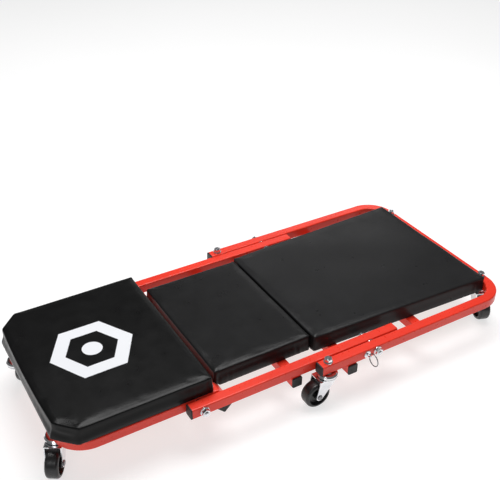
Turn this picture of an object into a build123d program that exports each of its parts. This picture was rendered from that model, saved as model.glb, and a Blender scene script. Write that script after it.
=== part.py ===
from build123d import *
import math
import os

os.makedirs("parts", exist_ok=True)

# A three-section folding mechanics creeper, laid flat. All sizes are in millimetres.
# X runs from the head end to the foot end and is measured here from the head end; save()
# shifts every piece so that the origin lies on the floor under the middle of the creeper.
# Y runs across the creeper from its centre plane, with the near side at -Y, and Z is the
# height above the floor. The one lock ring reaches out on the near side, so the middle of
# the whole outline lies a little off the centre plane.
ORIGIN_X = 449.0
ORIGIN_Y = -10.5
SIDES = (-1, 1)

# Square steel tube used for every frame
TUBE = 20.0
TUBE_WALL = 1.5
TUBE_EDGE = 2.5
BEND_RADIUS = 50.0

# Heights of the frame members
RAIL_Z = 78.0
CROSSBAR_Z = RAIL_Z - TUBE
MIDDLE_LIFT = 0.2
MIDDLE_Z = RAIL_Z + MIDDLE_LIFT
RAIL_TOP = RAIL_Z + TUBE / 2
RAIL_BOTTOM = RAIL_Z - TUBE / 2

# Distance of the rail centre lines from the centre plane
FOOT_RAIL_Y = 205.0
MIDDLE_RAIL_Y = 183.0
HEAD_RAIL_Y = 161.0

# Foot section: the outer frame
FOOT_OPEN_X = 460.5
FOOT_END_X = 904.0
FOOT_FRONT_BAR_X = 526.0
FOOT_REAR_BAR_X = 707.0
FOOT_REAR_BAR_HALF = 203.0
FOOT_TAB_X = (856.0, 912.0)
FOOT_TAB_Y = 60.0

# Middle section: two straight rails, one square crossbar and one diamond-set crossbar
MIDDLE_HEAD_X = 214.0
MIDDLE_TAIL_X = 645.0
MIDDLE_BAR_X = 420.0
DIAMOND_X = 275.9
DIAMOND_Z = RAIL_BOTTOM + MIDDLE_LIFT
DIAMOND_SIZE = 22.0
DIAMOND_HALF = 188.0
MIDDLE_TAB_X = (287.0, 316.0)
MIDDLE_TAB_Y = 90.0
TAB_WIDTH = 26.0
TAB_THICKNESS = 3.0

# Head section: the inner frame
HEAD_END_X = 8.0
HEAD_TAIL_X = 275.0
HEAD_TAIL_CUT = 15.3
HEAD_FRONT_BAR_X = 70.0
HEAD_REAR_BAR_X = 160.0

# Plastic end caps
CAP_THICKNESS = 3.0
DIAMOND_CAP_THICKNESS = 2.5
CAP_PLUG = 8.0
CAP_EDGE = 1.0
PLUG_CLEARANCE = 0.1

# Upholstered cushions on plywood boards; widths are given at the head-side and foot-side edge
CUSHION_THICKNESS = 33.0
CUSHION_CORNER = 7.0
CUSHION_EDGE = 7.0
HEAD_CUSHION_X = (-6.0, 265.0)
HEAD_CUSHION_WIDTHS = (338.0, 338.0)
HEAD_CUSHION_CUT = 33.0
MIDDLE_CUSHION_X = (283.0, 481.5)
MIDDLE_CUSHION_WIDTHS = (282.0, 282.0)
FOOT_CUSHION_X = (485.5, 893.0)
FOOT_CUSHION_WIDTHS = (300.0, 332.0)
MIDDLE_CUSHION_RELIEF = 10.0
BOARD_THICKNESS = 6.0
BOARD_INSET = 12.0

# Screws that hold the boards down
SCREW_RADIUS = 2.5
SCREW_HOLE_RADIUS = 2.75
SCREW_HEAD_RADIUS = 5.0
SCREW_HEAD_HEIGHT = 2.5
SCREW_BITE = 5.0
SCREW_Y = 90.0
FOOT_TAB_SCREW_X = 866.0
MIDDLE_TAB_SCREW_X = 306.0

# M8 pivot bolts
FOLD_PIVOT_X = 581.0
HEAD_PIVOT_X = 236.0
PIVOT_Z = RAIL_Z
BOLT_RADIUS = 4.0
TURNING_HOLE_RADIUS = 4.05
FIXED_HOLE_RADIUS = 4.1
HEX_FLATS = 13.0
BOLT_HEAD_HEIGHT = 5.3
NUT_HEIGHT = 6.5
BOLT_TAIL = 2.4
WASHER_THICKNESS = 1.6
WASHER_RADIUS = 9.5
SMALL_WASHER_RADIUS = 8.5
GAP_WASHER_THICKNESS = 1.7
FACE_GAP = 0.2

# Spring lock pin, drawn back; only the near side has one
LOCK_SIDE = -1
LOCK_X = 558.0
LOCK_Z = RAIL_Z
PIN_TIP_Y = 195.2
PIN_COLLAR_Y = (204.5, 206.5)
PIN_END_Y = 225.5
PIN_NOSE_RADIUS = 4.0
PIN_COLLAR_RADIUS = 6.0
PIN_SHANK_RADIUS = 2.5
PIN_CLEARANCE = 0.05
BUSH_INNER_Y = 212.0
BUSH_OUTER_Y = 216.2
BUSH_RADIUS = 5.0
BUSH_FLANGE_RADIUS = 7.0
SPRING_WIRE = 0.5
SPRING_RADIUS = 4.2
SPRING_LENGTH = 4.1
SPRING_TURNS = 3.0
RING_PIN_Y = 222.5
RING_RADIUS = 12.0
RING_WIRE = 1.0
RING_CHORD = 8.0
RING_HOLE_RADIUS = 1.08

# Casters: stem, race, fork and wheel
FOOT_MID_CASTER = (477.3, 205.0)
FOOT_END_CASTER = (904.0, 145.0)
HEAD_CASTER = (8.0, 106.0)
STEM_RADIUS = 4.0
FOOT_STEM_TOP = 99.0
HEAD_STEM_TOP = 79.0
SPACER_RADIUS = 8.5
CUP_TOP = 66.5
CUP_BOTTOM = 60.5
CUP_RADIUS = 19.0
CUP_WALL = 1.5
CUP_ROUND = 2.5
RIVET_TOP = 57.0
RIVET_BOTTOM = 54.5
RIVET_RADIUS = 7.0
BALL_RADIUS = 2.7
BALL_CIRCLE = 12.5
BALL_COUNT = 8
CROWN_TOP = 59.2
CROWN_THICKNESS = 2.0
CROWN_RADIUS = 18.5
FORK_BACK = 24.0
FORK_FRONT = -13.0
FORK_HALF_WIDTH = 15.0
LEG_THICKNESS = 2.0
LEG_FOOT_RADIUS = 7.0
TRAIL = 23.6
AXLE_Z = 25.5
AXLE_RADIUS = 3.0
AXLE_HEAD_RADIUS = 5.0
AXLE_HEAD_HEIGHT = 1.6
AXLE_CLEARANCE = 0.05
WHEEL_RADIUS = 25.5
WHEEL_HALF_WIDTH = 11.5
WHEEL_SHOULDER = 5.0
WHEEL_RIM_INNER = 19.5
WHEEL_WEB_RADIUS = 17.5
WHEEL_WEB_HALF = 5.0
WHEEL_HUB_RADIUS = 8.0
WHEEL_HUB_HALF = 12.8
FLANGE_NUT_RADIUS = 8.5
FLANGE_NUT_FLANGE = 1.6
WELD_NUT_BOTTOM = 69.5

# Name, stem position and the direction each wheel trails towards, seen from above
CASTERS = (
    ("head_near", HEAD_CASTER[0], -HEAD_CASTER[1], (-0.55, -0.835)),
    ("head_far", HEAD_CASTER[0], HEAD_CASTER[1], (0.8, 0.6)),
    ("mid_near", FOOT_MID_CASTER[0], -FOOT_MID_CASTER[1], (-1.0, 0.0)),
    ("mid_far", FOOT_MID_CASTER[0], FOOT_MID_CASTER[1], (-1.0, 0.0)),
    ("foot_near", FOOT_END_CASTER[0], -FOOT_END_CASTER[1], (-0.35, -0.937)),
    ("foot_far", FOOT_END_CASTER[0], FOOT_END_CASTER[1], (-0.7, 0.714)),
)


def save(shape, name):
    """Move a piece to the shared origin and write it as its own STEP file."""
    export_step(Pos(-ORIGIN_X, -ORIGIN_Y, 0) * shape, f"parts/{name}.step")


def group(shapes):
    """Keep several equal pieces together as separate solids."""
    return Compound([solid for shape in shapes for solid in shape.solids()])


def rod(start, direction, radius, length):
    """Round bar that begins at a point and runs along a direction."""
    return extrude(Plane(origin=start, z_dir=direction) * Circle(radius), amount=length)


def drill(shape, x, z, radius, y_from, y_to):
    """Cut a round hole along Y between two distances from the centre plane."""
    side = math.copysign(1, y_from)
    return shape - rod((x, y_from, z), (0, side, 0), radius, abs(y_to - y_from))


def drill_up(shape, x, y, z_from, z_to, radius):
    """Cut a vertical round hole."""
    return shape - rod((x, y, z_from), (0, 0, 1), radius, z_to - z_from)


def tube_outlines(size):
    """Outer and inner outline of a square tube."""
    inner = size - 2 * TUBE_WALL
    return (
        RectangleRounded(size, size, TUBE_EDGE),
        RectangleRounded(inner, inner, TUBE_EDGE - TUBE_WALL),
    )


def straight_tube(start, end, size=TUBE, turn=0.0):
    """Straight hollow square tube between two points."""
    run = Vector(*end) - Vector(*start)
    plane = Plane(origin=start, x_dir=(0, 0, 1), z_dir=run)
    outer, inner = tube_outlines(size)
    return extrude(plane * (Rot(0, 0, turn) * (outer - inner)), amount=run.length)


def bent_frame(rail_y, open_x, end_x):
    """U of square tube: two rails joined by an end tube with rounded corners."""
    corners = (
        (open_x, -rail_y, RAIL_Z),
        (end_x, -rail_y, RAIL_Z),
        (end_x, rail_y, RAIL_Z),
        (open_x, rail_y, RAIL_Z),
    )
    path = FilletPolyline(*corners, radius=BEND_RADIUS)
    plane = Plane(origin=path @ 0, x_dir=(0, 0, 1), z_dir=path % 0)
    outer, inner = tube_outlines(TUBE)
    return sweep(plane * outer, path=path) - sweep(plane * inner, path=path)


def end_cap(tip, outward, size=TUBE, flange=TUBE, thickness=CAP_THICKNESS, turn=0.0):
    """Plastic cap: a flange over the tube end and a plug inside it."""
    plane = Plane(origin=tip, x_dir=(0, 0, 1), z_dir=outward)
    plate = extrude(plane * (Rot(0, 0, turn) * RectangleRounded(flange, flange, TUBE_EDGE)), thickness)
    outer_face = plate.faces().sort_by(Axis(tip, outward))[-1]
    plate = fillet(outer_face.edges(), CAP_EDGE)
    plug_size = size - 2 * (TUBE_WALL + PLUG_CLEARANCE)
    plug = extrude(plane * (Rot(0, 0, turn) * RectangleRounded(plug_size, plug_size, CAP_EDGE)), -CAP_PLUG)
    return plate + plug


def cushion_outline(x_range, widths, corner_cut):
    """Plan of a cushion; it may widen towards the foot and have its head-end corners cut off."""
    start, end = x_range
    half = widths[0] / 2
    end_half = widths[1] / 2
    points = [(end, -end_half), (end, end_half)]
    if corner_cut:
        points += [(start + corner_cut, half), (start, half - corner_cut)]
        points += [(start, corner_cut - half), (start + corner_cut, -half)]
    else:
        points += [(start, half), (start, -half)]
    return make_face(Polyline(*points, close=True))


def board(x_range, widths, bottom, screws, corner_cut=0.0):
    """Plywood board let into the underside of a cushion, with its screw holes."""
    outline = offset(cushion_outline(x_range, widths, corner_cut), -BOARD_INSET)
    plate = extrude(Pos(0, 0, bottom) * outline, BOARD_THICKNESS)
    for x, y in screws:
        plate = drill_up(plate, x, y, bottom, bottom + SCREW_BITE, SCREW_RADIUS)
    return plate


def cushion(x_range, widths, bottom, corner_cut=0.0, relief=0.0):
    """Upholstered cushion with soft edges and a pocket for its board."""
    outline = cushion_outline(x_range, widths, corner_cut)
    body = extrude(Pos(0, 0, bottom) * outline, CUSHION_THICKNESS)
    if relief:
        edge = Pos(x_range[0], 0, bottom) * Rot(0, 45, 0)
        body -= edge * Box(relief * math.sqrt(2), widths[0], relief * math.sqrt(2))
    body = fillet(body.edges().filter_by(Axis.Z), CUSHION_CORNER)
    body = fillet(body.faces().sort_by(Axis.Z)[-1].edges(), CUSHION_EDGE)
    pocket = extrude(Pos(0, 0, bottom) * offset(outline, -BOARD_INSET), BOARD_THICKNESS)
    return body - pocket


def board_screw(x, y, board_bottom, grip):
    """Pan-head screw driven up through metal of the given height into a board."""
    seat = board_bottom - grip
    head = rod((x, y, seat), (0, 0, -1), SCREW_HEAD_RADIUS, SCREW_HEAD_HEIGHT)
    head = fillet(head.faces().sort_by(Axis.Z)[0].edges(), SCREW_HEAD_HEIGHT / 2)
    return head + rod((x, y, seat), (0, 0, 1), SCREW_RADIUS, grip + SCREW_BITE)


def washer(x, y, radius, thickness):
    """Flat washer across a pivot, starting at y and growing away from the centre plane."""
    side = math.copysign(1, y)
    disc = rod((x, y, PIVOT_Z), (0, side, 0), radius, thickness)
    return drill(disc, x, PIVOT_Z, FIXED_HOLE_RADIUS, y, y + side * thickness)


def pivot_set(x, side, inner_face, outer_face, gap_washer_face):
    """Bolt, nut and three washers through a pair of rails on one side."""
    head_y = inner_face - FACE_GAP - WASHER_THICKNESS
    outward = (0, side, 0)
    hexagon = RegularPolygon(HEX_FLATS / 2, 6, major_radius=False)
    nut_y = outer_face + WASHER_THICKNESS
    tail_y = nut_y + NUT_HEIGHT + BOLT_TAIL
    head_plane = Plane(origin=(x, side * head_y, PIVOT_Z), z_dir=outward)
    nut_plane = Plane(origin=(x, side * nut_y, PIVOT_Z), z_dir=outward)
    shank = rod((x, side * head_y, PIVOT_Z), outward, BOLT_RADIUS, tail_y - head_y)
    shank = chamfer(shank.faces().sort_by(Axis((0, 0, 0), outward))[-1].edges(), CAP_EDGE)
    bolt = extrude(head_plane * hexagon, -BOLT_HEAD_HEIGHT) + shank
    nut = extrude(nut_plane * (hexagon - Circle(BOLT_RADIUS)), NUT_HEIGHT)
    washers = (
        washer(x, side * head_y, WASHER_RADIUS, WASHER_THICKNESS),
        washer(x, side * gap_washer_face, WASHER_RADIUS, GAP_WASHER_THICKNESS),
        washer(x, side * outer_face, SMALL_WASHER_RADIUS, WASHER_THICKNESS),
    )
    return bolt, nut, washers


def foot_frame():
    """Outer bent frame with holes for the stems, the pivots and the lock."""
    frame = bent_frame(FOOT_RAIL_Y, FOOT_OPEN_X, FOOT_END_X)
    inner = FOOT_RAIL_Y - TUBE / 2 - CAP_EDGE
    outer = FOOT_RAIL_Y + TUBE / 2 + CAP_EDGE
    for side in SIDES:
        frame = drill(frame, FOLD_PIVOT_X, PIVOT_Z, FIXED_HOLE_RADIUS, side * inner, side * outer)
        for x, y in (FOOT_MID_CASTER, FOOT_END_CASTER):
            frame = drill_up(frame, x, side * y, RAIL_BOTTOM, RAIL_TOP, FIXED_HOLE_RADIUS)
    middle = LOCK_SIDE * FOOT_RAIL_Y
    frame = drill(frame, LOCK_X, LOCK_Z, PIN_NOSE_RADIUS + PIN_CLEARANCE, LOCK_SIDE * inner, middle)
    return drill(frame, LOCK_X, LOCK_Z, BUSH_RADIUS + PIN_CLEARANCE, middle, LOCK_SIDE * outer)


def head_frame():
    """Inner bent frame; the tail ends are cut to clear the diamond bar."""
    frame = bent_frame(HEAD_RAIL_Y, HEAD_TAIL_X, HEAD_END_X)
    cut = HEAD_TAIL_CUT
    corner = ((HEAD_TAIL_X - cut, RAIL_BOTTOM), (HEAD_TAIL_X + 1, RAIL_BOTTOM),
              (HEAD_TAIL_X + 1, RAIL_BOTTOM + cut + 1))
    triangle = Plane.XZ * make_face(Polyline(*corner, close=True))
    frame -= extrude(triangle, HEAD_RAIL_Y + TUBE, both=True)
    inner = HEAD_RAIL_Y - TUBE / 2
    outer = HEAD_RAIL_Y + TUBE / 2
    for side in SIDES:
        frame = drill(frame, HEAD_PIVOT_X, PIVOT_Z, TURNING_HOLE_RADIUS, side * inner, side * outer)
        frame = drill_up(
            frame, HEAD_CASTER[0], side * HEAD_CASTER[1], RAIL_BOTTOM, RAIL_Z, FIXED_HOLE_RADIUS
        )
    return frame


def diamond_bar():
    """Square tube set on edge, let into the underside of the middle rails."""
    start = (DIAMOND_X, -DIAMOND_HALF, DIAMOND_Z)
    return straight_tube(start, (DIAMOND_X, DIAMOND_HALF, DIAMOND_Z), DIAMOND_SIZE, turn=45)


def diamond_core():
    """The diamond bar and its caps without a hollow, used to notch what they pass through."""
    outer, _ = tube_outlines(DIAMOND_SIZE)
    half = DIAMOND_HALF + DIAMOND_CAP_THICKNESS
    plane = Plane(origin=(DIAMOND_X, 0, DIAMOND_Z), x_dir=(0, 0, 1), z_dir=(0, 1, 0))
    return extrude(plane * (Rot(0, 0, 45) * outer), half, both=True)


def middle_rail(side):
    """Straight middle rail with its two pivot holes and notch, and the lock hole if it has one."""
    y = side * MIDDLE_RAIL_Y
    rail = straight_tube((MIDDLE_HEAD_X, y, MIDDLE_Z), (MIDDLE_TAIL_X, y, MIDDLE_Z))
    inner = y - side * TUBE / 2
    outer = y + side * TUBE / 2
    rail -= diamond_core()
    rail = drill(rail, FOLD_PIVOT_X, PIVOT_Z, TURNING_HOLE_RADIUS, inner, outer)
    rail = drill(rail, HEAD_PIVOT_X, PIVOT_Z, FIXED_HOLE_RADIUS, inner, outer)
    if side == LOCK_SIDE:
        rail = drill(rail, LOCK_X, LOCK_Z, PIN_NOSE_RADIUS + PIN_CLEARANCE, y, outer)
    return rail


def crossbar(x, half, z, screw_ys):
    """Crossbar under or between the rails, drilled for the board screws."""
    bar = straight_tube((x, -half, z), (x, half, z))
    for y in screw_ys:
        bar = drill_up(bar, x, y, z - TUBE / 2, z + TUBE / 2, SCREW_HOLE_RADIUS)
    return bar


def foot_rear_crossbar():
    """Rear foot crossbar; its ends are cut back at 45 degrees underneath."""
    bar = crossbar(FOOT_REAR_BAR_X, FOOT_REAR_BAR_HALF, CROSSBAR_Z, (-SCREW_Y, SCREW_Y))
    half = FOOT_REAR_BAR_HALF
    bottom = CROSSBAR_Z - TUBE / 2
    for side in SIDES:
        corner = ((side * (half - TUBE), bottom), (side * half, bottom), (side * half, bottom + TUBE))
        plane = Plane(origin=(FOOT_REAR_BAR_X, 0, 0), x_dir=(0, 1, 0), z_dir=(1, 0, 0))
        bar -= extrude(plane * make_face(Polyline(*corner, close=True)), TUBE, both=True)
    return bar


def support_tab(x_range, y, top, screw_x):
    """Flat steel tab that carries one edge of a board."""
    start, end = x_range
    centre = ((start + end) / 2, y, top - TAB_THICKNESS / 2)
    tab = Pos(*centre) * Box(end - start, TAB_WIDTH, TAB_THICKNESS)
    return drill_up(tab, screw_x, y, top - TAB_THICKNESS, top, SCREW_HOLE_RADIUS)


def lock_pin():
    """Spring lock pin: nose, collar, shank and a cross hole for the pull ring."""
    side = LOCK_SIDE
    outward = (0, side, 0)
    collar_start, collar_end = PIN_COLLAR_Y
    nose = rod((LOCK_X, side * PIN_TIP_Y, LOCK_Z), outward, PIN_NOSE_RADIUS, collar_start - PIN_TIP_Y)
    nose = chamfer(nose.faces().sort_by(Axis((0, 0, 0), outward))[0].edges(), CAP_EDGE)
    collar = rod(
        (LOCK_X, side * collar_start, LOCK_Z), outward, PIN_COLLAR_RADIUS, collar_end - collar_start
    )
    shank = rod((LOCK_X, side * collar_end, LOCK_Z), outward, PIN_SHANK_RADIUS, PIN_END_Y - collar_end)
    shank = fillet(shank.faces().sort_by(Axis((0, 0, 0), outward))[-1].edges(), CAP_EDGE)
    pin = nose + collar + shank
    return drill_up(pin, LOCK_X, side * RING_PIN_Y, LOCK_Z - TUBE / 2, LOCK_Z + TUBE / 2, RING_HOLE_RADIUS)


def pull_ring():
    """Wire ring with a short straight part that turns in the pin's cross hole."""
    side = LOCK_SIDE
    half_chord = RING_CHORD / 2
    reach = math.sqrt(RING_RADIUS**2 - half_chord**2)
    half_angle = math.degrees(math.asin(half_chord / RING_RADIUS))
    plane = Plane(origin=(LOCK_X, side * (RING_PIN_Y + reach), LOCK_Z), x_dir=(0, side, 0), z_dir=(1, 0, 0))
    arc = CenterArc((0, 0), RING_RADIUS, half_angle - 180, 360 - 2 * half_angle)
    path = plane * arc
    section = Plane(origin=path @ 0, z_dir=path % 0) * Circle(RING_WIRE)
    ring = sweep(section, path=path)
    foot = (LOCK_X, side * RING_PIN_Y, LOCK_Z - half_chord)
    ring += rod(foot, (0, 0, 1), RING_WIRE, RING_CHORD)
    for z in (LOCK_Z - half_chord, LOCK_Z + half_chord):
        ring += Pos(LOCK_X, side * RING_PIN_Y, z) * Sphere(RING_WIRE)
    return ring


def lock_bush():
    """Guide bush pressed into the outer wall of the foot rail."""
    side = LOCK_SIDE
    outward = (0, side, 0)
    wall = FOOT_RAIL_Y + TUBE / 2
    bush = rod((LOCK_X, side * BUSH_INNER_Y, LOCK_Z), outward, BUSH_RADIUS, BUSH_OUTER_Y - BUSH_INNER_Y)
    bush += rod((LOCK_X, side * wall, LOCK_Z), outward, BUSH_FLANGE_RADIUS, BUSH_OUTER_Y - wall)
    bore = PIN_SHANK_RADIUS + PIN_CLEARANCE
    return drill(bush, LOCK_X, LOCK_Z, bore, side * BUSH_INNER_Y, side * BUSH_OUTER_Y)


def lock_spring():
    """Compressed coil spring between the pin's collar and the bush."""
    start = BUSH_INNER_Y - SPRING_WIRE
    coil = Helix(pitch=SPRING_LENGTH / SPRING_TURNS, height=SPRING_LENGTH, radius=SPRING_RADIUS)
    section = Plane(origin=coil @ 0, z_dir=coil % 0) * Circle(SPRING_WIRE)
    spring = sweep(section, path=coil, is_frenet=True)
    plane = Plane(origin=(LOCK_X, LOCK_SIDE * start, LOCK_Z), z_dir=(0, -LOCK_SIDE, 0))
    return plane.location * spring


def caster_mount(x, y, stem_top):
    """Threaded stem, race cup and king pin of one caster as a single turned piece."""
    cavity_top = CUP_TOP - CUP_WALL
    profile = Polyline(
        (0, stem_top),
        (STEM_RADIUS - CAP_EDGE, stem_top),
        (STEM_RADIUS, stem_top - CAP_EDGE),
        (STEM_RADIUS, RAIL_BOTTOM),
        (SPACER_RADIUS, RAIL_BOTTOM),
        (SPACER_RADIUS, CUP_TOP),
        (CUP_RADIUS - CUP_ROUND, CUP_TOP),
        (CUP_RADIUS, CUP_TOP - CUP_ROUND),
        (CUP_RADIUS, CUP_BOTTOM),
        (CUP_RADIUS - CUP_WALL, CUP_BOTTOM),
        (CUP_RADIUS - CUP_WALL, cavity_top),
        (STEM_RADIUS, cavity_top),
        (STEM_RADIUS, RIVET_TOP),
        (RIVET_RADIUS, RIVET_TOP),
        (RIVET_RADIUS, RIVET_BOTTOM + CAP_EDGE),
        (RIVET_RADIUS - CAP_EDGE, RIVET_BOTTOM),
        (0, RIVET_BOTTOM),
        close=True,
    )
    return Pos(x, y, 0) * revolve(Plane.XZ * make_face(profile), Axis.Z)


def bearing_balls(x, y):
    """Ring of bearing balls under one race cup."""
    height = CUP_TOP - CUP_WALL - BALL_RADIUS
    ring = PolarLocations(BALL_CIRCLE, BALL_COUNT)
    return [Pos(x, y, height) * spot * Sphere(BALL_RADIUS) for spot in ring]


def flange_nut(x, y):
    """Flange nut on top of the rail."""
    hexagon = RegularPolygon(HEX_FLATS / 2, 6, major_radius=False)
    nut = extrude(Pos(0, 0, RAIL_TOP) * Circle(FLANGE_NUT_RADIUS), FLANGE_NUT_FLANGE)
    nut += extrude(Pos(0, 0, RAIL_TOP) * hexagon, FLANGE_NUT_FLANGE + NUT_HEIGHT)
    top = RAIL_TOP + FLANGE_NUT_FLANGE + NUT_HEIGHT
    return Pos(x, y, 0) * drill_up(nut, 0, 0, RAIL_TOP, top, STEM_RADIUS)


def weld_nut(x, y):
    """Hexagon nut welded inside the head tube."""
    hexagon = RegularPolygon(HEX_FLATS / 2, 6, major_radius=False) - Circle(STEM_RADIUS)
    return Pos(x, y, WELD_NUT_BOTTOM) * extrude(hexagon, NUT_HEIGHT)


def caster_place(x, y, trail):
    """Where a caster stands and which way its wheel trails."""
    return Pos(x, y, 0) * Rot(0, 0, math.degrees(math.atan2(trail[1], trail[0])))


def fork():
    """Pressed fork: a round crown plate with two tapered legs."""
    plan = Circle(CROWN_RADIUS)
    plan += Pos(FORK_BACK / 2, 0) * Rectangle(FORK_BACK, 2 * FORK_HALF_WIDTH)
    body = extrude(Pos(0, 0, CROWN_TOP - CROWN_THICKNESS) * plan, CROWN_THICKNESS)
    top = Line((FORK_FRONT, CROWN_TOP), (FORK_BACK, CROWN_TOP))
    boss = Pos(TRAIL, AXLE_Z) * Circle(LEG_FOOT_RADIUS)
    side_plate = make_hull(top.edges() + boss.edges())
    for y in (FORK_HALF_WIDTH, LEG_THICKNESS - FORK_HALF_WIDTH):
        body += Pos(0, y, 0) * extrude(Plane.XZ * side_plate, LEG_THICKNESS)
    body = drill_up(body, 0, 0, CROWN_TOP - CROWN_THICKNESS, CROWN_TOP, STEM_RADIUS + AXLE_CLEARANCE)
    half = FORK_HALF_WIDTH
    return body - rod((TRAIL, -half, AXLE_Z), (0, 1, 0), AXLE_RADIUS + AXLE_CLEARANCE, 2 * half)


def axle():
    """Riveted axle through both legs."""
    half = FORK_HALF_WIDTH
    pin = rod((TRAIL, -half, AXLE_Z), (0, 1, 0), AXLE_RADIUS, 2 * half)
    for side in SIDES:
        head = rod((TRAIL, side * half, AXLE_Z), (0, side, 0), AXLE_HEAD_RADIUS, AXLE_HEAD_HEIGHT)
        pin += fillet(head.faces().sort_by(Axis((0, 0, 0), (0, side, 0)))[-1].edges(), CAP_EDGE)
    return pin


def wheel():
    """Solid plastic wheel with rounded shoulders, a thin web and a hub."""
    bore = AXLE_RADIUS + AXLE_CLEARANCE
    half = [
        (bore, WHEEL_HUB_HALF),
        (WHEEL_HUB_RADIUS, WHEEL_HUB_HALF),
        (WHEEL_HUB_RADIUS, WHEEL_WEB_HALF),
        (WHEEL_WEB_RADIUS, WHEEL_WEB_HALF),
        (WHEEL_RIM_INNER, WHEEL_HALF_WIDTH),
        (WHEEL_RADIUS, WHEEL_HALF_WIDTH),
    ]
    mirrored = [(radius, -width) for radius, width in reversed(half)]
    section = make_face(Polyline(*half, *mirrored, close=True))
    shoulders = section.vertices().sort_by(Axis.X)[-2:]
    section = fillet(shoulders, WHEEL_SHOULDER)
    return Pos(TRAIL, 0, AXLE_Z) * revolve(section, Axis.Y)


def build_foot_section():
    """Everything that stays with the outer frame on the floor."""
    save(foot_frame(), "foot_frame")
    half = FOOT_RAIL_Y + TUBE / 2
    save(crossbar(FOOT_FRONT_BAR_X, half, CROSSBAR_Z, (-SCREW_Y, SCREW_Y)), "foot_front_crossbar")
    save(foot_rear_crossbar(), "foot_rear_crossbar")
    tabs = [support_tab(FOOT_TAB_X, side * FOOT_TAB_Y, RAIL_BOTTOM, FOOT_TAB_SCREW_X) for side in SIDES]
    save(group(tabs), "foot_cushion_tabs")
    caps = []
    for side in SIDES:
        caps.append(end_cap((FOOT_OPEN_X, side * FOOT_RAIL_Y, RAIL_Z), (-1, 0, 0)))
        caps.append(end_cap((FOOT_FRONT_BAR_X, side * half, CROSSBAR_Z), (0, side, 0)))
    save(group(caps), "foot_end_caps")

    bars = [(x, side * SCREW_Y) for x in (FOOT_FRONT_BAR_X, FOOT_REAR_BAR_X) for side in SIDES]
    tab_spots = [(FOOT_TAB_SCREW_X, side * FOOT_TAB_Y) for side in SIDES]
    save(board(FOOT_CUSHION_X, FOOT_CUSHION_WIDTHS, RAIL_BOTTOM, bars + tab_spots), "foot_board")
    save(cushion(FOOT_CUSHION_X, FOOT_CUSHION_WIDTHS, RAIL_BOTTOM), "foot_cushion")
    screws = [board_screw(x, y, RAIL_BOTTOM, TUBE) for x, y in bars]
    screws += [board_screw(x, y, RAIL_BOTTOM, TAB_THICKNESS) for x, y in tab_spots]
    save(group(screws), "foot_board_screws")

    spots = [(x, side * y) for x, y in (FOOT_MID_CASTER, FOOT_END_CASTER) for side in SIDES]
    save(group([caster_mount(x, y, FOOT_STEM_TOP) for x, y in spots]), "foot_caster_mounts")
    save(group([flange_nut(x, y) for x, y in spots]), "foot_caster_nuts")
    save(group([ball for x, y in spots for ball in bearing_balls(x, y)]), "foot_bearing_balls")


def build_middle_section():
    """The two middle rails, their crossbars and the middle cushion."""
    save(middle_rail(-1), "middle_rail_near")
    save(middle_rail(1), "middle_rail_far")
    save(diamond_bar(), "middle_diamond_bar")
    half = MIDDLE_RAIL_Y + TUBE / 2
    bar_z = CROSSBAR_Z + MIDDLE_LIFT
    save(crossbar(MIDDLE_BAR_X, half, bar_z, (-SCREW_Y, SCREW_Y)), "middle_crossbar")
    caps = []
    diamond_caps = []
    for side in SIDES:
        y = side * MIDDLE_RAIL_Y
        caps.append(end_cap((MIDDLE_HEAD_X, y, MIDDLE_Z), (-1, 0, 0)))
        caps.append(end_cap((MIDDLE_BAR_X, side * half, bar_z), (0, side, 0)))
        tip = (DIAMOND_X, side * DIAMOND_HALF, DIAMOND_Z)
        diamond_caps.append(
            end_cap(tip, (0, side, 0), DIAMOND_SIZE, DIAMOND_SIZE, DIAMOND_CAP_THICKNESS, 45)
        )
    save(group(caps), "middle_end_caps")
    save(group(diamond_caps), "diamond_bar_caps")

    bottom = RAIL_BOTTOM + MIDDLE_LIFT
    bar = diamond_core()
    tabs = [support_tab(MIDDLE_TAB_X, side * MIDDLE_TAB_Y, bottom, MIDDLE_TAB_SCREW_X) for side in SIDES]
    save(group([tab - bar for tab in tabs]), "middle_cushion_tabs")
    bar_spots = [(MIDDLE_BAR_X, side * SCREW_Y) for side in SIDES]
    tab_spots = [(MIDDLE_TAB_SCREW_X, side * MIDDLE_TAB_Y) for side in SIDES]
    save(board(MIDDLE_CUSHION_X, MIDDLE_CUSHION_WIDTHS, bottom, bar_spots + tab_spots), "middle_board")
    pad = cushion(MIDDLE_CUSHION_X, MIDDLE_CUSHION_WIDTHS, bottom, relief=MIDDLE_CUSHION_RELIEF)
    save(pad, "middle_cushion")
    screws = [board_screw(x, y, bottom, TUBE) for x, y in bar_spots]
    screws += [board_screw(x, y, bottom, TAB_THICKNESS) for x, y in tab_spots]
    save(group(screws), "middle_board_screws")


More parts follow.
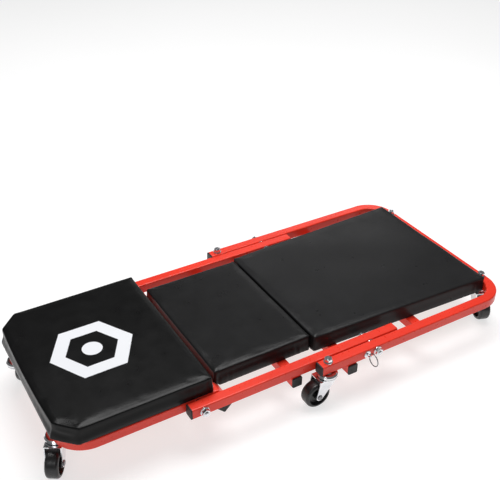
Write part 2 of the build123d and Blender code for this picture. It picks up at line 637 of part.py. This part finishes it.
def build_head_section():
    """The inner frame, its crossbars and the raised head cushion."""
    save(head_frame(), "head_frame")
    half = HEAD_RAIL_Y - TUBE / 2
    save(crossbar(HEAD_FRONT_BAR_X, half, RAIL_Z, (-SCREW_Y, SCREW_Y)), "head_front_crossbar")
    save(crossbar(HEAD_REAR_BAR_X, half, RAIL_Z, (-SCREW_Y, SCREW_Y)), "head_rear_crossbar")
    spots = [(x, side * SCREW_Y) for x in (HEAD_FRONT_BAR_X, HEAD_REAR_BAR_X) for side in SIDES]
    save(board(HEAD_CUSHION_X, HEAD_CUSHION_WIDTHS, RAIL_TOP, spots, HEAD_CUSHION_CUT), "head_board")
    save(cushion(HEAD_CUSHION_X, HEAD_CUSHION_WIDTHS, RAIL_TOP, HEAD_CUSHION_CUT), "head_cushion")
    save(group([board_screw(x, y, RAIL_TOP, TUBE) for x, y in spots]), "head_board_screws")

    stems = [(HEAD_CASTER[0], side * HEAD_CASTER[1]) for side in SIDES]
    save(group([caster_mount(x, y, HEAD_STEM_TOP) for x, y in stems]), "head_caster_mounts")
    save(group([weld_nut(x, y) for x, y in stems]), "head_caster_nuts")
    save(group([ball for x, y in stems for ball in bearing_balls(x, y)]), "head_bearing_balls")


def build_pivots():
    """Bolts, nuts and washers of the two fold lines."""
    half = TUBE / 2
    folds = (
        ("fold_pivot", FOLD_PIVOT_X, MIDDLE_RAIL_Y - half, FOOT_RAIL_Y + half,
         FOOT_RAIL_Y - half - GAP_WASHER_THICKNESS),
        ("head_pivot", HEAD_PIVOT_X, HEAD_RAIL_Y - half, MIDDLE_RAIL_Y + half,
         MIDDLE_RAIL_Y - half - GAP_WASHER_THICKNESS),
    )
    for name, x, inner_face, outer_face, gap_face in folds:
        sets = [pivot_set(x, side, inner_face, outer_face, gap_face) for side in SIDES]
        save(group([bolt for bolt, _, _ in sets]), f"{name}_bolts")
        save(group([nut for _, nut, _ in sets]), f"{name}_nuts")
        save(group([ring for _, _, rings in sets for ring in rings]), f"{name}_washers")


def build_lock():
    """Spring lock pin with its bush, spring and pull ring."""
    save(lock_bush(), "lock_bush")
    save(lock_spring(), "lock_spring")
    save(lock_pin(), "lock_pin")
    save(pull_ring(), "pull_ring")


def build_casters():
    """Forks, axles and wheels of the six casters."""
    for name, x, y, trail in CASTERS:
        place = caster_place(x, y, trail)
        save(place * fork(), f"fork_{name}")
        save(place * axle(), f"axle_{name}")
        save(place * wheel(), f"wheel_{name}")


build_foot_section()
build_middle_section()
build_head_section()
build_pivots()
build_lock()
build_casters()
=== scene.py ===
import bpy
import math
import numpy as np
from mathutils import Matrix, Vector


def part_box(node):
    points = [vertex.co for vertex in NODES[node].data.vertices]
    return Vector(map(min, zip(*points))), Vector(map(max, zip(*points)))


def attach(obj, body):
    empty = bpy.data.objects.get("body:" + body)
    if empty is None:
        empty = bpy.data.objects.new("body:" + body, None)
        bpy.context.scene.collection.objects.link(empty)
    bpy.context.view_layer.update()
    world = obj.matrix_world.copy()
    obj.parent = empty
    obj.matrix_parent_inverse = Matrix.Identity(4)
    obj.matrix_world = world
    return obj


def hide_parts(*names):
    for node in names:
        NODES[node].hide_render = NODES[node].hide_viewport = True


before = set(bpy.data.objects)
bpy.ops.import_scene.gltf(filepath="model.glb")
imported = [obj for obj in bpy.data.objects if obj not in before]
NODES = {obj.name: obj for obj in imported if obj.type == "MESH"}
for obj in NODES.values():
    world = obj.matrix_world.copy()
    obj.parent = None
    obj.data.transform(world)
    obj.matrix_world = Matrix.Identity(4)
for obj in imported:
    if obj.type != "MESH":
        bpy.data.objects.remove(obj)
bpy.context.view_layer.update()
MM = 0.001

# Printed ring on the head cushion
HEAD_LOW, HEAD_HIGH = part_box("head_cushion")
MARK_X = HEAD_LOW[0] + 124 * MM
MARK_Y = (HEAD_LOW[1] + HEAD_HIGH[1]) / 2
MARK_OUTER = 66 * MM
MARK_INNER = 42 * MM
MARK_DOT = 18 * MM
MARK_BLUR = 0.4 * MM
MARK_LOWEST = HEAD_HIGH[2] - 9 * MM

# Cushion covers
POCKET = 11.2 * MM
POCKET_WALL = 0.6 * MM
POCKET_DEPTH = 6.6 * MM
EDGE_LINES = (0.0, 3.7 * MM, 7.5 * MM, POCKET, POCKET + POCKET_WALL)
POCKET_LINE = len(EDGE_LINES) - 1
SIDE_LEVELS = (0, 0.05, 0.16, 0.30, 0.46, 0.62, 0.76, 0.88, 0.96, 1.0)
CELL = 4.6 * MM
SWELL = 1.4 * MM
SIDE_RADIUS = 4 * MM
TOP_RADIUS = 3.2 * MM
PINNED_HEIGHT = 1.8 * MM
HEAD_CORNER_CUT = 33 * MM
HEAD_END_BOW = 6 * MM
HEAD_BOW_REACH = 30 * MM
HEAD_BOW_FADE = 8 * MM
BOARD_CORNER_CUT = 12 * MM
BASE_HEIGHT = 7 * MM
RELIEF = 10 * MM
RELIEF_SLOPE = 1.05
RELIEF_SQUEEZE = 0.15
FOOT_WIDTH_SHARE = 300 / 332

# Filling of the covers by cloth pressure
FILL_PRESSURE = 3.0
FILL_CAP = 1.3 * MM
FILL_FRAMES = 20

# Gathers and unevenness of the cloth
PLEAT_PITCH = 5.2 * MM
PLEAT_SIZE = 0.6 * MM
PLEAT_REACH = 26 * MM
PLEAT_WALL = 4 * MM
WAVE_COUNT = 7
WAVE_LENGTH = 0.16
WAVE_SIZE = 0.9 * MM
WAVE_START = 10 * MM
WAVE_FADE = 12 * MM
FREE_HEIGHT = 2 * MM
HIGHEST_RISE = 3 * MM

# Studio
FLOOR_HALF_SIZE = 6.0
FLOOR_DROP = 0.5 * MM
WORLD_STRENGTH = 0.16
CAMERA_AZIMUTH = math.radians(-30.86)
CAMERA_ELEVATION = math.radians(32.456)
CAMERA_ROLL = math.radians(0.422)
CAMERA_TARGET = Vector((0.1846, 0.3401, 0.0))
CAMERA_DISTANCE = 1.9184
CAMERA_LENS = 57.486
TINY = 1e-9


# ---------------------------------------------------------------- node helpers
class Graph:
    """Small helper for building a material's node tree."""

    def __init__(self, name):
        self.material = bpy.data.materials.new(name)
        self.material.use_nodes = True
        self.tree = self.material.node_tree
        self.tree.nodes.clear()
        self.output = self.tree.nodes.new("ShaderNodeOutputMaterial")
        self.shader = self.tree.nodes.new("ShaderNodeBsdfPrincipled")
        self.link(self.shader.outputs[0], self.output.inputs["Surface"])
        self.coords = self.tree.nodes.new("ShaderNodeTexCoord").outputs["Object"]

    def node(self, kind, **inputs):
        """Add a node; an input is named, with _ for a space, or numbered, as in _0."""
        item = self.tree.nodes.new(kind)
        for name, value in inputs.items():
            self.put(item, name, value)
        return item

    def put(self, item, name, value):
        """Link a socket to a node's input, or give the input a constant."""
        socket = item.inputs[int(name[1:])] if name[0] == "_" else item.inputs[name.replace("_", " ")]
        if isinstance(value, bpy.types.NodeSocket):
            self.link(value, socket)
        else:
            socket.default_value = value

    def link(self, a, b):
        self.tree.links.new(a, b)

    def set(self, **inputs):
        """Fill in inputs of the surface shader."""
        for name, value in inputs.items():
            self.put(self.shader, name, value)

    def noise(self, scale, detail=2.0, rough=0.5, vector=None, distortion=0.0):
        """Noise whose scale is in features per metre."""
        item = self.node("ShaderNodeTexNoise", Scale=scale, Detail=detail)
        self.put(item, "Roughness", rough)
        self.put(item, "Distortion", distortion)
        self.link(vector or self.coords, item.inputs["Vector"])
        return item.outputs["Fac"]

    def cells(self, scale):
        """Distance to the nearest border of a pattern of small cells."""
        item = self.node("ShaderNodeTexVoronoi", Scale=scale)
        item.feature = "DISTANCE_TO_EDGE"
        self.link(self.coords, item.inputs["Vector"])
        return item.outputs["Distance"]

    def stretch(self, x, y, z):
        """Object coordinates scaled by three factors, for grain that runs one way."""
        item = self.node("ShaderNodeMapping")
        item.inputs["Scale"].default_value = (x, y, z)
        self.link(self.coords, item.inputs["Vector"])
        return item.outputs[0]

    def ramp(self, value, stops):
        """Colour from a value; stops are (position, (red, green, blue))."""
        item = self.tree.nodes.new("ShaderNodeValToRGB")
        self.link(value, item.inputs["Fac"])
        while len(item.color_ramp.elements) < len(stops):
            item.color_ramp.elements.new(0.5)
        for element, (position, colour) in zip(item.color_ramp.elements, stops):
            element.position = position
            element.color = (*colour, 1.0)
        return item.outputs["Color"]

    def band(self, value, low, high, out_low, out_high):
        """Map the range low to high onto the range out_low to out_high."""
        item = self.node("ShaderNodeMapRange")
        item.inputs["From Min"].default_value = low
        item.inputs["From Max"].default_value = high
        item.inputs["To Min"].default_value = out_low
        item.inputs["To Max"].default_value = out_high
        self.link(value, item.inputs["Value"])
        return item.outputs[0]

    def math(self, kind, a, b=0.0):
        item = self.node("ShaderNodeMath", _0=a, _1=b)
        item.operation = kind
        return item.outputs[0]

    def mix(self, factor, a, b):
        """Blend two colours, each a socket or (red, green, blue)."""
        item = self.tree.nodes.new("ShaderNodeMix")
        item.data_type = "RGBA"
        self.link(factor, item.inputs[0])
        for socket, value in ((item.inputs[6], a), (item.inputs[7], b)):
            if isinstance(value, tuple):
                socket.default_value = (*value, 1.0)
            else:
                self.link(value, socket)
        return item.outputs[2]

    def bump(self, *layers):
        """Layers are (height socket, strength, distance in metres)."""
        normal = None
        for height, strength, distance in layers:
            item = self.node("ShaderNodeBump", Strength=strength, Distance=distance, Height=height)
            if normal is not None:
                self.link(normal, item.inputs["Normal"])
            normal = item.outputs[0]
        self.link(normal, self.shader.inputs["Normal"])


# ---------------------------------------------------------------- materials
def powder_coat():
    """Glossy red paint with a slight orange peel and a trace of dust."""
    g = Graph("red_powder_coat")
    cloud = g.noise(9.0, 3.0)
    speck = g.noise(900.0, 2.0, 0.6)
    colour = g.ramp(cloud, [(0.3, (0.74, 0.030, 0.013)), (0.7, (0.85, 0.042, 0.019))])
    dust = g.band(g.noise(38.0, 6.0, 0.65), 0.64, 0.82, 0.0, 0.05)
    colour = g.mix(dust, colour, (0.86, 0.20, 0.15))
    g.set(Base_Color=colour, Metallic=0.0, Specular_IOR_Level=0.35)
    g.set(Roughness=g.band(g.noise(160.0, 4.0), 0.3, 0.7, 0.26, 0.36))
    g.set(Coat_Weight=0.08, Coat_Roughness=0.12)
    g.bump((g.noise(420.0, 2.0, 0.5), 0.10, 0.0003), (speck, 0.04, 0.0001))
    return g.material


def bright_zinc():
    """Bright plated steel with dull patches."""
    g = Graph("bright_zinc")
    cloud = g.noise(60.0, 3.0)
    colour = g.ramp(cloud, [(0.3, (0.66, 0.67, 0.70)), (0.7, (0.83, 0.84, 0.85))])
    smut = g.band(g.noise(210.0, 5.0, 0.7), 0.58, 0.78, 0.0, 0.35)
    colour = g.mix(smut, colour, (0.40, 0.39, 0.38))
    g.set(Base_Color=colour, Metallic=1.0)
    g.set(Roughness=g.band(g.noise(320.0, 4.0, 0.6), 0.3, 0.75, 0.10, 0.26))
    brushed = g.noise(500.0, 2.0, 0.5, g.stretch(1.0, 1.0, 7.0))
    g.bump((brushed, 0.12, 0.00015), (g.noise(90.0, 2.0), 0.10, 0.0004))
    return g.material


def dark_steel():
    """Bare or blackened steel."""
    g = Graph("dark_steel")
    colour = g.ramp(g.noise(260.0, 4.0), [(0.3, (0.16, 0.16, 0.17)), (0.75, (0.34, 0.34, 0.35))])
    g.set(Base_Color=colour, Metallic=1.0)
    g.set(Roughness=g.band(g.noise(420.0, 4.0), 0.3, 0.7, 0.26, 0.48))
    g.bump((g.noise(700.0, 3.0), 0.15, 0.0002))
    return g.material


def cap_plastic():
    """Matt black plastic of the tube caps."""
    g = Graph("black_cap_plastic")
    colour = g.ramp(g.noise(90.0, 4.0), [(0.3, (0.005, 0.005, 0.0055)), (0.7, (0.013, 0.013, 0.0135))])
    g.set(Base_Color=colour, Specular_IOR_Level=0.4)
    g.set(Roughness=g.band(g.noise(240.0, 3.0), 0.3, 0.7, 0.42, 0.60))
    g.bump((g.noise(1500.0, 2.0, 0.6), 0.25, 0.0002))
    return g.material


def wheel_plastic():
    """Black plastic of the wheels, scuffed grey in places."""
    g = Graph("black_wheel_plastic")
    scuff = g.band(g.noise(130.0, 6.0, 0.7, distortion=0.6), 0.58, 0.80, 0.0, 0.35)
    colour = g.mix(scuff, (0.011, 0.011, 0.012), (0.060, 0.058, 0.056))
    g.set(Base_Color=colour)
    g.set(Roughness=g.band(g.noise(180.0, 4.0), 0.3, 0.7, 0.24, 0.42))
    g.bump((g.noise(600.0, 3.0, 0.6), 0.12, 0.0002), (scuff, 0.10, 0.0002))
    return g.material


def plywood():
    """Thin plywood with its grain along the creeper."""
    g = Graph("plywood")
    along = g.stretch(2.2, 46.0, 46.0)
    grain = g.noise(1.6, 8.0, 0.62, along, 1.1)
    fine = g.noise(7.0, 6.0, 0.7, g.stretch(3.0, 130.0, 130.0))
    browns = [(0.30, (0.30, 0.17, 0.075)), (0.52, (0.50, 0.33, 0.17)), (0.72, (0.62, 0.45, 0.26))]
    colour = g.ramp(grain, browns)
    colour = g.mix(g.band(fine, 0.55, 0.75, 0.0, 0.35), colour, (0.24, 0.14, 0.07))
    g.set(Base_Color=colour, Specular_IOR_Level=0.25)
    g.set(Roughness=g.band(fine, 0.3, 0.7, 0.58, 0.80))
    g.bump((fine, 0.35, 0.0004))
    return g.material


def vinyl(name, painted_lift=0.0, printed=False):
    """Black vinyl cloth with a fine leather grain, made lighter by a given amount as painted light for the
    light that falls on that cushion; printed adds the ring.
    """
    g = Graph(name)
    cloud = g.noise(5.5, 3.0, 0.5)
    # Painted light: the added lightness stands in for the light that falls on this cushion, not a different
    # vinyl.
    dark = 0.0022 + painted_lift
    light = dark * 1.5
    colour = g.ramp(cloud, [(0.25, (dark, dark, dark * 1.04)), (0.75, (light, light, light * 1.04))])
    grain = g.band(g.cells(900.0), 0.0, 0.25, 0.0, 1.0)
    cracks = g.noise(260.0, 5.0, 0.62, distortion=0.4)
    rough = g.band(g.noise(34.0, 4.0, 0.6), 0.3, 0.7, 0.27, 0.36)
    if printed:
        print_mask = ring_mask(g)
        worn = g.band(g.noise(190.0, 5.0, 0.7), 0.66, 0.80, 1.0, 0.80)
        print_mask = g.math("MULTIPLY", print_mask, worn)
        colour = g.mix(print_mask, colour, (0.80, 0.81, 0.84))
        rough = g.math("ADD", rough, g.math("MULTIPLY", print_mask, 0.08))
    g.set(Base_Color=colour, Roughness=rough, Specular_IOR_Level=0.16)
    g.bump((grain, 0.10, 0.00015), (cracks, 0.05, 0.0002))
    return g.material


def ring_mask(g):
    """1 inside a plain hexagonal ring and its dot on the top of the head cushion, 0 elsewhere."""
    split = g.node("ShaderNodeSeparateXYZ")
    g.link(g.coords, split.inputs[0])
    x = g.math("ABSOLUTE", g.math("SUBTRACT", split.outputs[0], MARK_X))
    y = g.math("ABSOLUTE", g.math("SUBTRACT", split.outputs[1], MARK_Y))
    slanted = g.math("ADD", g.math("MULTIPLY", x, math.cos(math.pi / 6)), g.math("MULTIPLY", y, 0.5))
    hexagon = g.math("MAXIMUM", slanted, y)
    round_sum = g.math("ADD", g.math("MULTIPLY", x, x), g.math("MULTIPLY", y, y))
    radius = g.math("SQRT", round_sum)
    inside = g.band(hexagon, MARK_OUTER - MARK_BLUR, MARK_OUTER + MARK_BLUR, 1.0, 0.0)
    outside = g.band(hexagon, MARK_INNER - MARK_BLUR, MARK_INNER + MARK_BLUR, 0.0, 1.0)
    ring = g.math("MULTIPLY", inside, outside)
    dot = g.band(radius, MARK_DOT - MARK_BLUR, MARK_DOT + MARK_BLUR, 1.0, 0.0)
    on_top = g.band(split.outputs[2], MARK_LOWEST, MARK_LOWEST + 1 * MM, 0.0, 1.0)
    return g.math("MULTIPLY", g.math("MAXIMUM", ring, dot), on_top)


def pale_floor():
    """Pale floor that glows a little, so that it stays near white."""
    g = Graph("pale_floor")
    colour = g.ramp(g.noise(0.8, 2.0), [(0.3, (0.37, 0.37, 0.37)), (0.7, (0.40, 0.40, 0.40))])
    g.set(Base_Color=colour, Roughness=0.85, Specular_IOR_Level=0.1)
    g.set(Emission_Color=(1.0, 1.0, 1.0, 1.0), Emission_Strength=0.68)
    return g.material


def dress(words, material):
    """Give a material to every CAD node whose name holds one of the words; a later call wins."""
    for name, item in NODES.items():
        if any(word in name for word in words):
            item.data.materials.clear()
            item.data.materials.append(material)


dress(("frame", "crossbar", "tabs", "rail_", "diamond_bar"), powder_coat())
dress(("mounts", "nuts", "bolts", "washers", "fork_", "bush", "lock_pin"), bright_zinc())
dress(("caps",), cap_plastic())
dress(("wheel_",), wheel_plastic())
dress(("board",), plywood())
dress(("screws", "spring", "balls", "axle_", "pull_ring"), dark_steel())


# ---------------------------------------------------------------- cushions
def lines(low, high):
    """Grid lines: a fixed margin round the board pocket, then even cells."""
    start = low + EDGE_LINES[-1]
    end = high - EDGE_LINES[-1]
    count = round((end - start) / CELL)
    middle = [start + (end - start) * i / count for i in range(1, count)]
    return [low + m for m in EDGE_LINES] + middle + [high - m for m in reversed(EDGE_LINES)]


def shell(xs, ys, zs):
    """Closed skin of quads over a box of grid lines: vertices, faces, grid indices."""
    nx, ny, nz = len(xs) - 1, len(ys) - 1, len(zs) - 1
    index = {}
    points = []
    keys = []

    def at(i, j, k):
        key = (i, j, k)
        if key not in index:
            index[key] = len(points)
            points.append((xs[i], ys[j], zs[k]))
            keys.append(key)
        return index[key]

    faces = []
    for i in range(nx):
        for j in range(ny):
            faces.append((at(i, j, nz), at(i + 1, j, nz), at(i + 1, j + 1, nz), at(i, j + 1, nz)))
            faces.append((at(i, j, 0), at(i, j + 1, 0), at(i + 1, j + 1, 0), at(i + 1, j, 0)))
    for i in range(nx):
        for k in range(nz):
            faces.append((at(i, 0, k), at(i + 1, 0, k), at(i + 1, 0, k + 1), at(i, 0, k + 1)))
            faces.append((at(i, ny, k), at(i, ny, k + 1), at(i + 1, ny, k + 1), at(i + 1, ny, k)))
    for j in range(ny):
        for k in range(nz):
            faces.append((at(0, j, k), at(0, j, k + 1), at(0, j + 1, k + 1), at(0, j + 1, k)))
            faces.append((at(nx, j, k), at(nx, j + 1, k), at(nx, j + 1, k + 1), at(nx, j, k + 1)))
    return np.array(points), faces, np.array(keys)


def smooth_step(value):
    """0 below 0, 1 above 1 and a smooth rise between."""
    value = np.clip(value, 0.0, 1.0)
    return value * value * (3 - 2 * value)


def round_edges(points, low, high):
    """Round the vertical corners and the top edge of a box-shaped skin."""
    out = points.copy()
    core = np.clip(points[:, :2], low[:2] + SIDE_RADIUS, high[:2] - SIDE_RADIUS)
    step = points[:, :2] - core
    length = np.maximum(np.linalg.norm(step, axis=1), TINY)
    reach = np.max(np.abs(step), axis=1)
    scale = np.where(reach > TINY, reach / length, 1.0)
    out[:, :2] = core + step * scale[:, None]
    shoulder = high[2] - TOP_RADIUS
    depth = np.clip((out[:, 2] - shoulder) / TOP_RADIUS, 0.0, 1.0)
    core = np.clip(out[:, :2], low[:2] + TOP_RADIUS, high[:2] - TOP_RADIUS)
    step = out[:, :2] - core
    outward = np.clip(np.linalg.norm(step, axis=1) / TOP_RADIUS, 0.0, 1.0)
    both = np.sqrt(np.maximum(depth**2 + outward**2, TINY))
    shrink = np.where(both > 1.0, 1.0 / both, 1.0)
    out[:, :2] = core + step * shrink[:, None]
    out[:, 2] = np.where(depth > 0, shoulder + depth * shrink * TOP_RADIUS, out[:, 2])
    return out


def places(mesh):
    """The places of a mesh's vertices, one row each."""
    flat = np.empty(len(mesh.vertices) * 3)
    mesh.vertices.foreach_get("co", flat)
    return flat.reshape(-1, 3)


def move_vertices(mesh, points):
    mesh.vertices.foreach_set("co", points.ravel())
    mesh.update()


def settle(obj, pinned):
    """Let cloth pressure fill the skin, then keep the result within a cap."""
    scene = bpy.context.scene
    rest = places(obj.data)
    group = obj.vertex_groups.new(name="pinned")
    group.add([int(i) for i in np.nonzero(pinned)[0]], 1.0, "REPLACE")
    cloth = obj.modifiers.new("cloth", "CLOTH")
    cloth.settings.vertex_group_mass = "pinned"
    cloth.settings.use_pressure = True
    cloth.settings.uniform_pressure_force = FILL_PRESSURE
    cloth.settings.effector_weights.gravity = 0.0
    cloth.settings.quality = 5
    cloth.settings.tension_stiffness = 12.0
    cloth.settings.compression_stiffness = 12.0
    cloth.settings.bending_stiffness = 1.2
    cloth.point_cache.frame_start = 1
    cloth.point_cache.frame_end = FILL_FRAMES
    scene.frame_start = 1
    scene.frame_end = FILL_FRAMES
    for number in range(1, FILL_FRAMES + 1):
        scene.frame_set(number)
    evaluated = obj.evaluated_get(bpy.context.evaluated_depsgraph_get())
    step = places(evaluated.data) - rest
    length = np.maximum(np.linalg.norm(step, axis=1), TINY)
    soft = FILL_CAP * np.tanh(length / FILL_CAP)
    result = rest + step * (soft / length)[:, None]
    obj.modifiers.remove(cloth)
    obj.vertex_groups.remove(group)
    scene.frame_set(1)
    move_vertices(obj.data, result)


def subdivide_once(obj):
    """Apply one level of subdivision to the mesh."""
    modifier = obj.modifiers.new("subdivision", "SUBSURF")
    modifier.levels = 1
    evaluated = obj.evaluated_get(bpy.context.evaluated_depsgraph_get())
    mesh = bpy.data.meshes.new_from_object(evaluated)
    obj.modifiers.clear()
    old = obj.data
    obj.data = mesh
    bpy.data.meshes.remove(old)


def pleats(points, low, high, seed):
    """Small gathers in the cloth where it is folded round the corners of the board."""
    rng = np.random.default_rng(seed)
    offset = np.zeros_like(points)
    height = np.clip((high[2] - points[:, 2]) / (high[2] - low[2]), 0.0, 1.0)
    for cx, sx in ((low[0], 1), (high[0], -1)):
        for cy, sy in ((low[1], 1), (high[1], -1)):
            u = (points[:, 0] - cx) * sx
            v = (points[:, 1] - cy) * sy
            near = np.hypot(u, v)
            wall = np.exp(-np.minimum(u, v) / PLEAT_WALL)
            along = np.maximum(u, v)
            phase = rng.uniform(0, math.pi)
            turn = along / PLEAT_PITCH * math.pi
            fold = 0.6 * np.sin(turn + phase + height * 1.3) + 0.6 * np.sin(0.62 * turn + 2 * phase - height)
            fade = np.exp(-near / PLEAT_REACH) * wall * smooth_step(height * 1.6)
            push = PLEAT_SIZE * fold * fade
            offset[:, 0] += push * sx * (u < v)
            offset[:, 1] += push * sy * (v <= u)
    return offset


def waves(points, seed):
    """Slow unevenness of hand-stretched cloth."""
    rng = np.random.default_rng(seed)
    total = np.zeros(len(points))
    for _ in range(WAVE_COUNT):
        direction = rng.normal(size=2)
        direction /= np.linalg.norm(direction)
        frequency = rng.uniform(0.5, 1.6) / WAVE_LENGTH
        phase = rng.uniform(0, 6.28)
        total += np.sin(points[:, :2] @ direction * frequency * 2 * math.pi + phase)
    return total / WAVE_COUNT * WAVE_SIZE


def narrow(points, low, high, share):
    """Taper the cushion towards its head-side edge, where its width is a share of the full one."""
    along = (high[0] - points[:, 0]) / (high[0] - low[0])
    middle = (high[1] + low[1]) / 2
    return middle + (points[:, 1] - middle) * (1 - (1 - share) * np.clip(along, 0.0, 1.0))


def cover_skin(low, high):
    """A cushion's skin with its board pocket: vertices, faces, pocket mask, mask of the held ones."""
    low = low - np.array([SWELL, SWELL, 0.0])
    high = high + np.array([SWELL, SWELL, 0.0])
    xs = lines(low[0], high[0])
    ys = lines(low[1], high[1])
    zs = [low[2] + (high[2] - low[2]) * level for level in SIDE_LEVELS]
    points, faces, keys = shell(xs, ys, zs)
    last = np.array([len(xs) - 1, len(ys) - 1])
    bottom = keys[:, 2] == 0
    within = (keys[:, :2] >= POCKET_LINE) & (keys[:, :2] <= last - POCKET_LINE)
    pocket = bottom & within.all(axis=1)
    points = round_edges(points, low, high)
    points[pocket, 2] = low[2] + POCKET_DEPTH
    pinned = bottom | (points[:, 2] < low[2] + PINNED_HEIGHT)
    return points, faces, pocket, pinned


def relieve(points, low, pocket):
    """Heights of the vertices once the lower head-side edge is chamfered to clear the folding tube."""
    edge = smooth_step(1 - (points[:, 0] - low[0]) / RELIEF)
    floor = low[2] + edge * RELIEF * RELIEF_SLOPE
    raised = floor + RELIEF_SQUEEZE * (points[:, 2] - low[2])
    return np.where(~pocket & (points[:, 2] < floor), raised, points[:, 2])


def crease(mesh, low, high, seed):
    """Add the gathers at the corners and the slow unevenness of the top."""
    points = places(mesh)
    top = smooth_step((points[:, 2] - low[2] - WAVE_START) / WAVE_FADE)
    points += pleats(points, low, high, seed)
    points[:, 2] += waves(points, seed) * top
    free = points[:, 2] > low[2] + FREE_HEIGHT
    points[free, 2] = np.minimum(points[free, 2], high[2] + HIGHEST_RISE)
    move_vertices(mesh, points)


def make_cushion(node, material, body, seed, cut_head_end=False, relieved=False, share=1.0):
    """Replace a plain CAD cushion with a filled cover."""
    low, high = (np.array(corner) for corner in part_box(node))
    points, faces, pocket, pinned = cover_skin(low, high)
    if cut_head_end:
        points[:, 1] = cut_corners(points, low, high)
        points[:, 0] = bow_end(points, low, high)
    points[:, 1] = narrow(points, low, high, share)
    if relieved:
        points[:, 2] = relieve(points, low, pocket)
    mesh = bpy.data.meshes.new(f"{node}_cover")
    mesh.from_pydata([tuple(p) for p in points], [], faces)
    mesh.validate()
    obj = bpy.data.objects.new(f"{node}_cover", mesh)
    bpy.context.scene.collection.objects.link(obj)
    settle(obj, pinned)
    subdivide_once(obj)
    crease(obj.data, low, high, seed)
    obj.data.polygons.foreach_set("use_smooth", [True] * len(obj.data.polygons))
    obj.data.materials.append(material)
    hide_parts(node)
    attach(obj, body)


def cut_corners(points, low, high):
    """Squeeze the rows near the head end so that its two corners are cut off."""
    cut = HEAD_CORNER_CUT
    half = (high[1] - low[1]) / 2
    middle = (high[1] + low[1]) / 2
    y = points[:, 1] - middle
    away = points[:, 0] - low[0]
    width = half - np.clip(cut - away, 0.0, cut)
    board = half - POCKET - POCKET_WALL
    board_cut = cut + BOARD_CORNER_CUT * math.sqrt(2) - np.maximum(away, BOARD_CORNER_CUT)
    board_width = np.clip(half - board_cut, 0.0, board)
    across = np.abs(y)
    inner = across * board_width / board
    outer = board_width + (across - board) * (width - board_width) / (half - board)
    under = points[:, 2] < low[2] + BASE_HEIGHT
    plain = across * width / half
    blended = np.where(across <= board, inner, outer)
    return middle + np.sign(y) * np.where(under, blended, plain)


def bow_end(points, low, high):
    """Let the head end of the cover bow outward: its two ends lie further in than its middle."""
    across = (2 * points[:, 1] - high[1] - low[1]) / (high[1] - low[1])
    fade = np.exp(-np.clip(points[:, 0] - low[0], 0.0, None) / HEAD_BOW_REACH)
    above = smooth_step((points[:, 2] - low[2] - BASE_HEIGHT) / HEAD_BOW_FADE)
    return points[:, 0] + HEAD_END_BOW * across**2 * fade * above


# The middle and foot covers use lighter copies of the same vinyl, painted light for how light falls on them.
make_cushion("head_cushion", vinyl("head_vinyl", 0.0, printed=True), "head_section", 3, cut_head_end=True)
make_cushion("middle_cushion", vinyl("middle_vinyl_painted_lighter", 0.0055), "middle_section", 5, relieved=True)
make_cushion("foot_cushion", vinyl("foot_vinyl_painted_lighter", 0.0085), "foot_section", 8, share=FOOT_WIDTH_SHARE)


# ---------------------------------------------------------------- studio
def studio():
    """Floor, faint surrounding light and three lamps."""
    floor_mesh = bpy.data.meshes.new("studio_floor")
    size = FLOOR_HALF_SIZE
    floor_mesh.from_pydata(
        [(-size, -size, 0), (size, -size, 0), (size, size, 0), (-size, size, 0)], [], [(0, 1, 2, 3)]
    )
    floor = bpy.data.objects.new("studio_floor", floor_mesh)
    floor.location.z = -FLOOR_DROP
    floor_mesh.materials.append(pale_floor())
    bpy.context.scene.collection.objects.link(floor)

    world = bpy.data.worlds.new("studio_world")
    world.use_nodes = True
    background = world.node_tree.nodes["Background"]
    background.inputs["Color"].default_value = (1.0, 1.0, 1.0, 1.0)
    background.inputs["Strength"].default_value = WORLD_STRENGTH
    bpy.context.scene.world = world

    lamp("overhead", (0.3, 0.5, 2.4), (0.0, 0.0, 0.0), (1.8, 1.2), 64.0)
    lamp("key", (-1.9, -1.6, 1.9), (0.0, 0.0, 0.05), (1.0, 0.9), 7.0)
    lamp("rim", (1.6, 2.2, 1.3), (0.2, 0.0, 0.05), (1.2, 0.5), 3.0)


def lamp(name, place, target, size, power):
    """A soft rectangular lamp in watts, aimed at a target."""
    light = bpy.data.lights.new(name, "AREA")
    light.shape = "RECTANGLE"
    light.size, light.size_y = size
    light.energy = power
    item = bpy.data.objects.new(name, light)
    item.location = place
    aim = Vector(target) - Vector(place)
    item.rotation_euler = aim.to_track_quat("-Z", "Y").to_euler()
    bpy.context.scene.collection.objects.link(item)


def camera():
    """Camera that looks at the target from an azimuth and elevation, turned by a small roll."""
    level = math.cos(CAMERA_ELEVATION)
    back_x = math.sin(CAMERA_AZIMUTH) * level
    back_y = -math.cos(CAMERA_AZIMUTH) * level
    back = Vector((back_x, back_y, math.sin(CAMERA_ELEVATION)))
    right = Vector((math.cos(CAMERA_AZIMUTH), math.sin(CAMERA_AZIMUTH), 0.0))
    up = back.cross(right)
    x_axis = right * math.cos(CAMERA_ROLL) + up * math.sin(CAMERA_ROLL)
    y_axis = up * math.cos(CAMERA_ROLL) - right * math.sin(CAMERA_ROLL)
    turn = Matrix((x_axis, y_axis, back)).transposed().to_4x4()
    data = bpy.data.cameras.new("camera")
    data.sensor_width = 36.0
    data.lens = CAMERA_LENS
    data.clip_start = 0.05
    data.clip_end = 50.0
    item = bpy.data.objects.new("camera", data)
    item.matrix_world = Matrix.Translation(CAMERA_TARGET + back * CAMERA_DISTANCE) @ turn
    bpy.context.scene.collection.objects.link(item)
    bpy.context.scene.camera = item


studio()
camera()
bpy.context.scene.view_settings.view_transform = "Standard"
